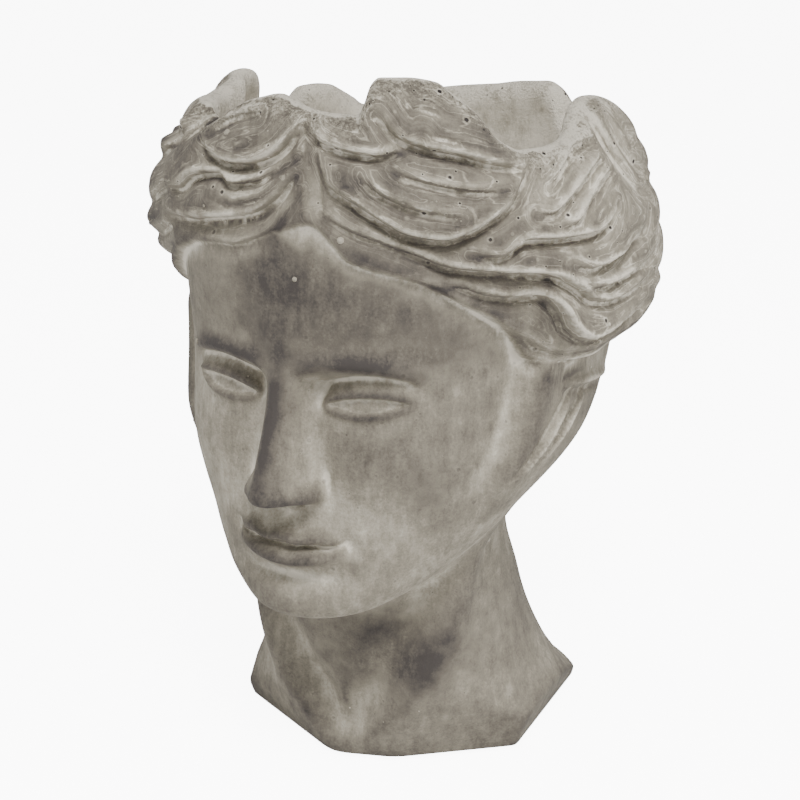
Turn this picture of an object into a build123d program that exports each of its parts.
from build123d import *
import os
from math import cos, degrees, exp, pi, radians, sin, sqrt
from scipy.interpolate import PchipInterpolator

# A cement head planter: +Z up, the face looks along -Y, the origin is on the table under its middle.
# Driving sizes, in millimetres.
overall_height = 250
head_width = 140
head_depth = 170
hair_step_height = 5
hair_ramp_height = 26
side_ramp_height = 18
lock_depth = 6
lock_lip_height = 3.2
lock_fall_height = 7
parting_width = 5
parting_depth = 2.5
ear_roll_height = 2.4
ear_groove_depth = 1.8
ear_roll_width = 12
tendon_height = 3.8
base_floor_thickness = 14.5
drain_hole_diameter = 14
plug_clearance = 0.05
plug_tip_clearance = 2
plug_flange_overlap_width = 6
plug_flange_thickness = 3
plug_groove_depth = 0.8
plug_groove_width = 2
plug_groove_count = 2
plug_chamfer_width = 1.2
plug_knob_width = 10
plug_knob_height = 9
plug_neck_width = 6
plug_edge_radius = 1
pad_width = 14
pad_thickness = 1.5
pad_edge_radius = 0.4

# Places that follow the head: heights as shares of the overall height, widths of the head width
# and depths of the head depth.
face_third_share = 0.184
rim_dip_share = 0.872
neck_width_share = 0.636
neck_depth_share = 0.524
base_cut_height_share = 0.23
pad_spacing_share = 0.514
pad_front_share = 0.106
pad_back_share = 0.247

# Points round one section and sections in a loft, for the skin, the plain ovals and the neck.
skin_points = 128
skin_section_count = 72
oval_points = 24
neck_point_count = 72
oval_section_count = 46
roundness = 2.2
point_crowding = 0.4

# The bare head: height as a share of the overall height, half width of the head width,
# and the reach in front of and behind the axis of the head depth.
head_shares = [
    (0.284, 0.10, 0.45, -0.28),
    (0.292, 0.15, 0.468, -0.22),
    (0.308, 0.205, 0.48, -0.14),
    (0.332, 0.27, 0.482, -0.04),
    (0.36, 0.325, 0.477, 0.07),
    (0.392, 0.375, 0.473, 0.16),
    (0.432, 0.42, 0.471, 0.24),
    (0.472, 0.45, 0.468, 0.315),
    (0.52, 0.475, 0.468, 0.39),
    (0.58, 0.488, 0.465, 0.455),
    (0.64, 0.495, 0.473, 0.495),
    (0.70, 0.50, 0.482, 0.51),
    (0.76, 0.50, 0.485, 0.515),
    (0.84, 0.495, 0.48, 0.515),
    (0.92, 0.475, 0.465, 0.50),
    (1.02, 0.42, 0.422, 0.462),
]

# The face's forms, in shares of a third of the face: place across, height over the chin, half width,
# half height, and how far each swells (or, below zero, sinks).
face_form_shares = [
    (0, 0.17, 0.30, 0.17, 0.09),
    (0, 0.37, 0.30, 0.08, -0.06),
    (0, 0.55, 0.24, 0.07, 0.10),
    (0, 0.66, 0.42, 0.25, 0.06),
    (0, 0.75, 0.26, 0.07, 0.09),
]
paired_form_shares = [
    (0.21, 1.09, 0.09, 0.09, 0.15),
    (0.47, 2.0, 0.40, 0.09, 0.07),
    (0.52, 1.79, 0.30, 0.17, -0.18),
    (0.25, 1.80, 0.09, 0.14, -0.06),
    (0.565, 1.75, 0.24, 0.13, 0.16),
    (0.80, 1.20, 0.42, 0.40, 0.05),
]

# The nose along its ridge, in shares of a third of the face: height over the chin, reach, half width.
nose_shares = [
    (0.94, 0.0, 0.16),
    (1.03, 0.30, 0.17),
    (1.10, 0.435, 0.17),
    (1.30, 0.37, 0.15),
    (1.60, 0.25, 0.12),
    (1.85, 0.13, 0.13),
    (2.10, 0.04, 0.20),
    (2.30, 0.0, 0.24),
]

# Round the head from the face's middle, in degrees: the hairline's height as a share of the
# overall height, and the hair's thickness as a share of the head width.
hairline_shares = [
    (-180, 0.60, 0.09),
    (-130, 0.61, 0.105),
    (-100, 0.63, 0.145),
    (-75, 0.655, 0.152),
    (-58, 0.69, 0.135),
    (-40, 0.75, 0.095),
    (-23, 0.785, 0.07),
    (-10, 0.792, 0.06),
    (0, 0.815, 0.06),
    (7, 0.828, 0.06),
    (16, 0.785, 0.06),
    (27, 0.765, 0.07),
    (38, 0.733, 0.09),
    (48, 0.70, 0.11),
    (58, 0.64, 0.13),
    (66, 0.612, 0.14),
    (76, 0.602, 0.145),
    (100, 0.60, 0.148),
    (130, 0.60, 0.11),
    (180, 0.60, 0.09),
]
nape_shares = [(0.40, 0.0), (0.48, 0.036), (1.0, 0.036)]
nape_start_turn = 56
nape_full_turn = 68
hair_step_share = 0.4
side_step_share = 0.18
parting_turn = 7.5
parting_foot_share = 0.85
crown_start_share = 0.77
crown_thinning = 0.55

# The creases that part the locks: the share of the depth, then places in degrees round from the face's
# middle with heights as shares of the overall height.
crease_shares = [
    (0.87, [(33, 0.757), (44, 0.742), (56, 0.734), (64, 0.684), (77, 0.668), (102, 0.69)]),
    (0.92, [(10, 0.848), (22, 0.813), (43, 0.774), (57, 0.763), (70, 0.718), (80, 0.709), (104, 0.722)]),
    (0.95, [(9, 0.915), (11, 0.88), (22, 0.839), (35, 0.814), (45, 0.839), (54, 0.90)]),
    (0.54, [(18, 0.896), (25, 0.862), (38, 0.845)]),
    (0.67, [(6, 0.945), (17, 0.916), (22, 0.913), (30, 0.93)]),
    (0.79, [(21, 0.962), (25, 0.935), (38, 0.912), (53, 0.893)]),
    (0.5, [(24, 0.902), (35, 0.878), (48, 0.875)]),
    (0.92, [(40, 0.80), (46, 0.793), (52, 0.81), (69, 0.805), (79, 0.835)]),
    (0.54, [(54, 0.842), (58, 0.838), (78, 0.895)]),
    (0.5, [(60, 0.822), (64, 0.824), (83, 0.88)]),
    (0.5, [(58, 0.87), (71, 0.91), (78, 0.918)]),
    (0.87, [(62, 0.775), (70, 0.762), (86, 0.778), (100, 0.81)]),
    (0.71, [(66, 0.74), (77, 0.733), (107, 0.752)]),
    (0.75, [(78, 0.945), (88, 0.87), (104, 0.82)]),
    (0.71, [(86, 0.93), (92, 0.89), (108, 0.845)]),
    (0.54, [(66, 0.634), (78, 0.634), (104, 0.655)]),
    (0.46, [(74, 0.611), (84, 0.611), (98, 0.622)]),
    (0.87, [(-22, 0.923), (-12, 0.894), (-7, 0.895), (0, 0.91), (6, 0.95)]),
    (0.79, [(-30, 0.85), (-22, 0.872), (-15, 0.88), (-11, 0.87), (5, 0.912)]),
    (0.92, [(-36, 0.81), (-12, 0.826), (-5, 0.836), (5, 0.89)]),
    (0.67, [(-30, 0.905), (-22, 0.95), (-17, 0.97)]),
    (0.87, [(-90, 0.87), (-60, 0.885), (-28, 0.93)]),
    (0.75, [(-96, 0.80), (-68, 0.81), (-32, 0.85)]),
    (0.92, [(-98, 0.77), (-70, 0.77), (-34, 0.808)]),
    (0.71, [(-100, 0.70), (-86, 0.69), (-60, 0.722), (-36, 0.772)]),
    (0.79, [(-84, 0.93), (-70, 0.92), (-48, 0.94)]),
]

# The locks' lips are crisp over this span of the front and softer beyond it, in degrees.
crisp_turn = 20
crisp_half_turn = 54
crisp_fade_turn = 26

# The back's creases, evenly stacked on both sides, wavy and falling to the nape
back_crease_count = 6
back_crease_turns = range(84, 192, 12)
back_depth_share = 0.83
back_foot_share = 0.69
back_step_share = 0.046
back_wave_share = 0.016
back_fall_share = 0.028
waves_per_degree = 0.085
wave_shift = 1.7
for row in range(back_crease_count):
    places = []
    for stop in back_crease_turns:
        wave = back_wave_share * sin(waves_per_degree * stop + wave_shift * row)
        along = (stop - back_crease_turns[0]) / (back_crease_turns[-1] - back_crease_turns[0])
        places.append((stop, back_foot_share + back_step_share * row + wave - back_fall_share * along))
    crease_shares.append((back_depth_share, places))
    crease_shares.append((back_depth_share, [(-stop, share) for stop, share in reversed(places)]))

# Dents between the lumps of the left side's hair: degrees round, height as a share of the overall
# height, radius as a share of the head width, and the share of the lock's depth.
dent_shares = [
    (-60, 0.895, 0.05, 0.83),
    (-62, 0.845, 0.05, 0.83),
    (-66, 0.79, 0.043, 0.67),
    (-27, 0.945, 0.032, 0.83),
]

# The smooth roll before each ear, from the locks down to the jaw: heights as shares of the overall height.
ear_roll_foot_share = 0.48
ear_roll_top_share = 0.665
ear_roll_turn = 62
ear_groove_turn = 53

# The lobes of the rim: degrees round from the face's middle, half width as a share of the
# head width, and top as a share of the overall height.
rim_lobe_shares = [
    (-88, 0.23, 0.972),
    (-62, 0.30, 0.97),
    (-36, 0.24, 0.962),
    (-6, 0.24, 0.978),
    (12, 0.15, 0.958),
    (31, 0.21, 1.0),
    (58, 0.13, 0.912),
    (82, 0.22, 0.968),
    (138, 0.20, 0.922),
    (160, 0.26, 0.928),
    (-170, 0.26, 0.926),
    (-151, 0.18, 0.922),
    (-122, 0.18, 0.93),
]

# The neck and its flared base: height as a share of the overall height, half width of the neck width,
# and the reach in front of and behind the axis of the neck depth.
neck_shares = [
    (0.006, 0.75, 0.55, 0.72),
    (0.022, 0.75, 0.55, 0.72),
    (0.052, 0.69, 0.55, 0.65),
    (0.104, 0.625, 0.55, 0.565),
    (0.168, 0.57, 0.575, 0.50),
    (0.24, 0.53, 0.60, 0.445),
    (0.34, 0.49, 0.625, 0.365),
    (0.448, 0.49, 0.60, 0.39),
]

# The flat faces cut round the base: degrees round from the front, and how far each is from the axis
# at the bottom as a share of the overall height. All lean outwards going up.
base_face_shares = [(-90, 0.21), (-25, 0.184), (18, 0.178), (37, 0.183), (90, 0.206)]
base_face_lean = 18

# The neck's tendons, from beside its pit up to behind the ears: degrees round, and heights as shares
# of the overall height.
tendon_low_turn = 16
tendon_high_turn = 78
tendon_half_turn = 10
tendon_hollow_turn = 19
tendon_hollow_share = 0.8
tendon_foot_share = 0.03
tendon_top_share = 0.39

# The planting cavity, in the same shares as the bare head.
cavity_shares = [
    (0.064, 0.236, 0.206, 0.194),
    (0.20, 0.236, 0.235, 0.153),
    (0.352, 0.236, 0.259, 0.135),
    (0.448, 0.293, 0.341, 0.165),
    (0.54, 0.36, 0.37, 0.29),
    (0.64, 0.40, 0.395, 0.40),
    (0.76, 0.45, 0.42, 0.455),
    (0.86, 0.49, 0.435, 0.475),
    (1.04, 0.485, 0.415, 0.475),
]

chin_height = head_shares[0][0] * overall_height
face_third_height = face_third_share * overall_height
rim_dip_height = rim_dip_share * overall_height
rim_room_height = overall_height - rim_dip_height
neck_width = neck_width_share * head_width
neck_depth = neck_depth_share * head_depth
floor_height = pad_thickness + base_floor_thickness
reach_out_width = overall_height + head_width + head_depth


def curves_of(shares):
    """One smooth curve for each column of a table, over its first column."""
    columns = list(zip(*shares))
    return [PchipInterpolator(columns[0], column) for column in columns[1:]]


head_curves = curves_of(head_shares)
nose_curves = curves_of(nose_shares)
hairline_curves = curves_of(hairline_shares)
hairline_slope = hairline_curves[0].derivative()
nape_curve = curves_of(nape_shares)[0]
crease_curves = []
for depth_share, places in crease_shares:
    crease_curves.append((depth_share, places[0][0], places[-1][0], curves_of(places)[0]))


def oval_radius(turn, half_width, half_depth):
    """Radius of a full, slightly square oval at an angle from its front."""
    across = abs(sin(turn) / half_width) ** roundness
    along = abs(cos(turn) / half_depth) ** roundness
    return (across + along) ** (-1 / roundness)


def swell(across, up, form):
    """One rounded form of the face, as a length."""
    place, height, half_width, half_height, reach = [share * face_third_height for share in form]
    return reach * exp(-(((across - place) / half_width) ** 2) - ((up - height) / half_height) ** 2)


def face_reach(across, up):
    """How far the face's forms stand out of the plain head."""
    forms = sum(swell(across, up, form) for form in face_form_shares)
    forms += sum(swell(abs(across), up, form) for form in paired_form_shares)
    up_share = up / face_third_height
    if nose_shares[0][0] < up_share < nose_shares[-1][0]:
        reach, half_width = [float(curve(up_share)) * face_third_height for curve in nose_curves]
        forms += reach * exp(-((across / half_width) ** 2))
    return forms


def rounded(share):
    """A share from nothing to all, eased at both ends."""
    return sin(pi / 2 * min(1, max(0, share))) ** 2


def side_share(turn_degrees):
    """Nothing at the front, all from over the ears round to the back."""
    return rounded((abs(turn_degrees) - nape_start_turn) / (nape_full_turn - nape_start_turn))


def ear_roll(turn, height):
    """The roll before each ear, with the groove that sets it off from the cheek."""
    middle_share = (ear_roll_foot_share + ear_roll_top_share) / 2
    half_height = (ear_roll_top_share - middle_share) * overall_height
    span = rounded(2 - 2 * abs(height - middle_share * overall_height) / half_height)
    degree_width = radians(1) * head_width / 2
    from_roll = (abs(degrees(turn)) - ear_roll_turn) * degree_width / (ear_roll_width / 2)
    from_groove = (abs(degrees(turn)) - ear_groove_turn) * degree_width / (ear_roll_width / 2)
    return span * (ear_roll_height * exp(-(from_roll**2)) - ear_groove_depth * exp(-(from_groove**2)))


def nape_reach(turn, height):
    """The thin, smooth hair below the locks, from over the ears round to the nape."""
    thickness = float(nape_curve(max(nape_shares[0][0], height / overall_height))) * head_width
    return side_share(degrees(turn)) * thickness + ear_roll(turn, height)


def crease_depth(turn_degrees, height):
    """How deep the creases cut the hair: a steep lip over each, and a slow fall to it from below."""
    deepest = 0
    from_crisp = (abs(turn_degrees - crisp_turn) - crisp_half_turn) / crisp_fade_turn
    lip_height = lock_lip_height * (1 + rounded(from_crisp))
    for depth_share, start, end, curve in crease_curves:
        if start < turn_degrees < end:
            slope = float(curve(turn_degrees, 1)) * overall_height / (radians(1) * head_width / 2)
            above = (height - float(curve(turn_degrees)) * overall_height) / sqrt(1 + slope**2)
            reach = lip_height if above > 0 else lock_fall_height
            taper = sqrt(sin(pi * (turn_degrees - start) / (end - start)))
            deepest = max(deepest, lock_depth * depth_share * taper * exp(-((above / reach) ** 2)))
    for place, height_share, radius_share, depth_share in dent_shares:
        across = radians(turn_degrees - place) * head_width / 2
        away = sqrt(across**2 + (height - height_share * overall_height) ** 2)
        deepest += lock_depth * depth_share * exp(-((away / (radius_share * head_width)) ** 2))
    return deepest


def hair_reach(turn, height):
    """Thickness of the hair over the plain head, in locks that run back from the parting."""
    turn_degrees = degrees(turn)
    line, thickness = [float(curve(turn_degrees)) for curve in hairline_curves]
    nape = nape_reach(turn, height)
    above_line = height - line * overall_height
    if above_line <= 0:
        return nape
    crown = max(0, height / overall_height - crown_start_share) / (1 - crown_start_share)
    thickness = thickness * (1 - crown_thinning * sin(pi / 2 * crown) ** 2) * head_width
    slope = float(hairline_slope(turn_degrees)) * overall_height / (head_width / 2 * pi / 180)
    from_line = above_line / sqrt(1 + slope**2)
    aside = side_share(turn_degrees)
    ramp_height = hair_ramp_height + (side_ramp_height - hair_ramp_height) * aside
    step_share = hair_step_share + (side_step_share - hair_step_share) * aside
    step = rounded(from_line / hair_step_height)
    growth = step_share * step + (1 - step_share) * rounded(from_line / ramp_height)
    arc = head_width / 2 * (turn - radians(parting_turn))
    parting = parting_depth * exp(-((2 * arc / parting_width) ** 4))
    if height < parting_foot_share * overall_height:
        parting = 0
    return max(nape, growth * thickness - step * max(parting, crease_depth(turn_degrees, height)))


def skin_outline(height):
    """Points of the head's outer skin at one height, closer together at the face."""
    half_width, front, back = [float(curve(height / overall_height)) for curve in head_curves]
    half_width = half_width * head_width
    half_depth = (front + back) / 2 * head_depth
    centre = (back - front) / 2 * head_depth
    outline = []
    for index in range(skin_points):
        even = 2 * pi * index / skin_points - pi
        turn = even - point_crowding * sin(even)
        radius = oval_radius(turn, half_width, half_depth)
        if cos(turn) > 0:
            radius += cos(turn) * face_reach(radius * sin(turn), height - chin_height)
        radius += hair_reach(turn, height)
        outline.append((radius * sin(turn), centre - radius * cos(turn)))
    return outline


def no_reach(turn, height):
    """A section without forms of its own."""
    return 0


def tendon_reach(turn, height):
    """How far the neck's tendons stand out, with a hollow in front of each."""
    rise = (height / overall_height - tendon_foot_share) / (tendon_top_share - tendon_foot_share)
    place = tendon_low_turn + (tendon_high_turn - tendon_low_turn) * min(1, max(0, rise))
    from_ridge = (abs(degrees(turn)) - place) / tendon_half_turn
    from_hollow = (abs(degrees(turn)) - place + tendon_hollow_turn) / tendon_half_turn
    shape = exp(-(from_ridge**2)) - tendon_hollow_share * exp(-(from_hollow**2))
    return tendon_height * shape * rounded(height / (2 * tendon_foot_share * overall_height))


def oval_outline(height, half_width, front, back, point_count, form):
    """Points of an oval section that reaches front and back of the axis, with the forms on it."""
    outline = []
    for index in range(point_count):
        turn = 2 * pi * index / point_count - pi
        radius = oval_radius(turn, half_width, (front + back) / 2) + form(turn, height)
        outline.append((radius * sin(turn), (back - front) / 2 - radius * cos(turn)))
    return outline


def closed_curve(outline):
    """A smooth closed edge, evenly divided between its points so that sections loft together."""
    steps = [index / len(outline) for index in range(len(outline) + 1)]
    return Edge.make_spline([Vector(*point) for point in outline], periodic=True, parameters=steps)


def flat_section(height, outline):
    """A filled section at a height, ready for a loft."""
    with BuildSketch(Plane.XY.offset(height)) as section:
        with BuildLine():
            add(closed_curve(outline))
        make_face()
    return section.sketch


def heights_between(bottom, top, count):
    """Evenly spaced heights of the sections of a loft."""
    step = (top - bottom) / (count - 1)
    return [bottom + step * index for index in range(count)]


def oval_sections(shares, bottom, top, width, depth, point_count=oval_points, form=no_reach):
    """Oval sections that follow a table of half widths and reaches."""
    curves = curves_of(shares)
    sections = []
    for height in heights_between(bottom, top, oval_section_count):
        half_width, front, back = [float(curve(height / overall_height)) for curve in curves]
        outline = oval_outline(height, half_width * width, front * depth, back * depth, point_count, form)
        sections.append(flat_section(height, outline))
    return sections


def skin_sections():
    """The head's sections, evenly spaced from the chin to just over the rim's highest lobes."""
    heights = heights_between(chin_height, head_shares[-1][0] * overall_height, skin_section_count)
    return [flat_section(height, skin_outline(height)) for height in heights]


# Everything above the lobed rim, which is taken off the casting
with BuildPart() as rim_gap:
    with BuildSketch(Plane.XY.offset(rim_dip_height)):
        Circle(reach_out_width)
    extrude(amount=2 * rim_room_height)
    for turn_degrees, half_width_share, top_share in rim_lobe_shares:
        outward = Vector(0, -1, 0).rotate(Axis.Z, turn_degrees)
        along = Vector(1, 0, 0).rotate(Axis.Z, turn_degrees)
        lobe_rise = top_share * overall_height - rim_dip_height
        with BuildSketch(Plane((0, 0, rim_dip_height), x_dir=along, z_dir=outward)):
            Ellipse(half_width_share * head_width, lobe_rise)
        extrude(amount=reach_out_width, mode=Mode.SUBTRACT)

# The planting cavity: through the neck, opening out into the head
with BuildPart() as cavity:
    cavity_top = cavity_shares[-1][0] * overall_height
    loft(sections=oval_sections(cavity_shares, floor_height, cavity_top, head_width, head_depth))

# The cement casting: head, neck and base in one, then the cavity, the rim and the drain hole
with BuildPart() as head_casting:
    loft(sections=skin_sections())
    neck_top = neck_shares[-1][0] * overall_height
    loft(sections=oval_sections(
        neck_shares, pad_thickness, neck_top, neck_width, neck_depth, neck_point_count, tendon_reach))
    for turn_degrees, away_share in base_face_shares:
        along = Vector(1, 0, 0).rotate(Axis.Z, turn_degrees)
        outward = Vector(0, -1, 0).rotate(Axis.Z, turn_degrees)
        foot = outward * away_share * overall_height
        lean = outward.rotate(Axis(along, along), base_face_lean)
        with BuildSketch(Plane(foot, x_dir=along, z_dir=lean)):
            Rectangle(reach_out_width, 2 * base_cut_height_share * overall_height)
        extrude(amount=reach_out_width, mode=Mode.SUBTRACT)
    add(cavity.part, mode=Mode.SUBTRACT)
    add(rim_gap.part, mode=Mode.SUBTRACT)
    with Locations((0, 0, floor_height)):
        Hole(drain_hole_diameter / 2, depth=base_floor_thickness)
head_casting.part.label = "head_casting"

# The rubber plug: a flange on the floor, a ribbed stem in the drain hole and a knob to pull
stem_radius = drain_hole_diameter / 2 - plug_clearance
stem_length = base_floor_thickness - plug_tip_clearance
flange_radius = drain_hole_diameter / 2 + plug_flange_overlap_width
flange_top = floor_height + plug_flange_thickness
knob_middle = flange_top + plug_knob_height / 2
with BuildPart() as drain_plug:
    with BuildSketch(Plane.XY.offset(floor_height)):
        Circle(flange_radius)
    extrude(amount=plug_flange_thickness)
    fillet(drain_plug.edges().sort_by(Axis.Z)[-1], plug_edge_radius)
    with BuildSketch(Plane.XY.offset(floor_height)):
        Circle(stem_radius)
    extrude(amount=-stem_length)
    chamfer(drain_plug.edges().sort_by(Axis.Z)[0], plug_chamfer_width)
    for groove in range(plug_groove_count):
        groove_height = floor_height - stem_length * (groove + 1) / (plug_groove_count + 1)
        with BuildSketch(Plane.XY.offset(groove_height - plug_groove_width / 2)):
            Circle(stem_radius)
            Circle(stem_radius - plug_groove_depth, mode=Mode.SUBTRACT)
        extrude(amount=plug_groove_width, mode=Mode.SUBTRACT)
    with BuildSketch(Plane.XZ):
        with BuildLine():
            Polyline((0, flange_top), (plug_neck_width / 2, flange_top), (plug_neck_width / 2, knob_middle))
            Line((plug_neck_width / 2, knob_middle), (plug_knob_width / 2, knob_middle))
            Line((plug_knob_width / 2, knob_middle), (plug_knob_width / 2, flange_top + plug_knob_height))
            Line((plug_knob_width / 2, flange_top + plug_knob_height), (0, flange_top + plug_knob_height))
            Line((0, flange_top + plug_knob_height), (0, flange_top))
        make_face()
    revolve(axis=Axis.Z)
    fillet(drain_plug.edges().sort_by(Axis.Z)[-1], plug_edge_radius)
drain_plug.part.label = "drain_plug"

# Four rubber pads under the base
pad_half_spacing = pad_spacing_share * head_width / 2
pad_front = pad_front_share * head_depth
pad_back = pad_back_share * head_depth
pad_places = {
    "foot_pad_front_left": (-pad_half_spacing, -pad_front),
    "foot_pad_front_right": (pad_half_spacing, -pad_front),
    "foot_pad_back_left": (-pad_half_spacing, pad_back),
    "foot_pad_back_right": (pad_half_spacing, pad_back),
}

os.makedirs("parts", exist_ok=True)
export_step(head_casting.part, "parts/head_casting.step")
export_step(drain_plug.part, "parts/drain_plug.step")
for pad_name, pad_place in pad_places.items():
    with BuildPart() as foot_pad:
        with BuildSketch():
            with Locations(pad_place):
                Circle(pad_width / 2)
        extrude(amount=pad_thickness)
        fillet(foot_pad.edges().sort_by(Axis.Z)[0], pad_edge_radius)
    foot_pad.part.label = pad_name
    export_step(foot_pad.part, f"parts/{pad_name}.step")
